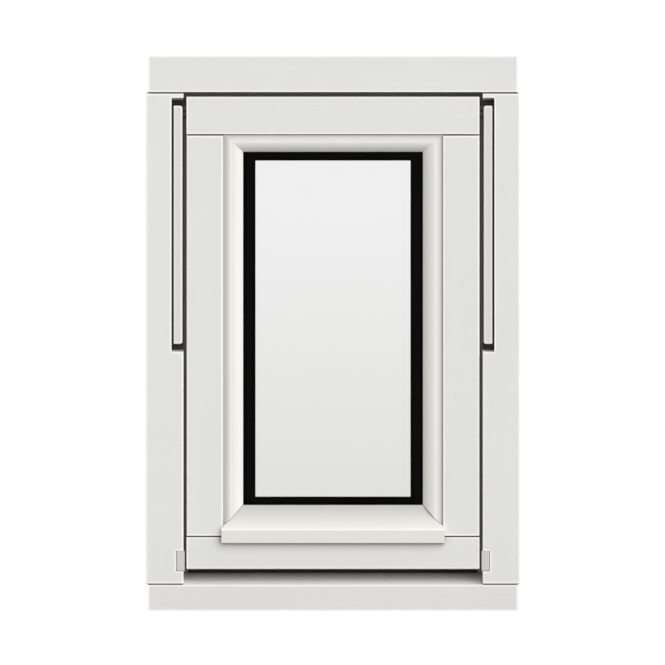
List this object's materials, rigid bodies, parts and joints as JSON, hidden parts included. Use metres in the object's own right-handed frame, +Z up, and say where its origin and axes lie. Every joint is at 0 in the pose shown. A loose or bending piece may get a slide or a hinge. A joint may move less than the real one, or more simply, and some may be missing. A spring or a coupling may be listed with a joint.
{
  "type": "top swing window",
  "caption": "Small outward-opening timber top swing window, closed: frame, double glazed sash with moulded beads and a drip nose, swing arms in slotted jambs, and a lever handle.",
  "frame": {"origin": "middle of the sill's underside, halfway through the frame's depth", "axes": "+Z up, -Y outside, +Y into the room, +X to the right seen from outside"},
  "size_m": [0.449, 0.1085, 0.666],
  "materials": {
    "painted_timber": "pale grey-white satin paint on softwood, smooth, with eased edges",
    "clear_glass": "clear float glass with a faint grey cast",
    "black_spacer": "matt black warm edge spacer and edge seal",
    "black_rubber": "matt black rubber",
    "grey_plastic": "pale warm grey moulded plastic",
    "coated_arm": "pale grey powder coat on metal",
    "dark_steel": "black passivated steel",
    "satin_handle": "satin silver-grey coat"
  },
  "bodies": {
    "root": {"frame_head": "painted_timber", "frame_sill": "painted_timber", "frame_jamb_left": "painted_timber", "frame_jamb_right": "painted_timber", "sash_top_rail": "painted_timber", "sash_bottom_rail": "painted_timber", "sash_stile_left": "painted_timber", "sash_stile_right": "painted_timber", "glazing_bead_top": "painted_timber", "glazing_bead_bottom": "painted_timber", "glazing_bead_left": "painted_timber", "glazing_bead_right": "painted_timber", "glass_outer_pane": "clear_glass", "glass_inner_pane": "clear_glass", "glass_spacer": "black_spacer", "frame_seal": "black_rubber", "glazing_gasket_outer": "black_rubber", "glazing_gasket_inner": "black_rubber", "guide_block_left": "grey_plastic", "guide_block_right": "grey_plastic", "setting_blocks": "grey_plastic", "hinge_arm_left": "coated_arm", "hinge_arm_right": "coated_arm", "hinge_plate_left": "dark_steel", "hinge_plate_right": "dark_steel", "sash_pivot_left": "dark_steel", "sash_pivot_right": "dark_steel", "handle_base": "satin_handle", "handle_lever": "satin_handle"}
  },
  "joints": []
}
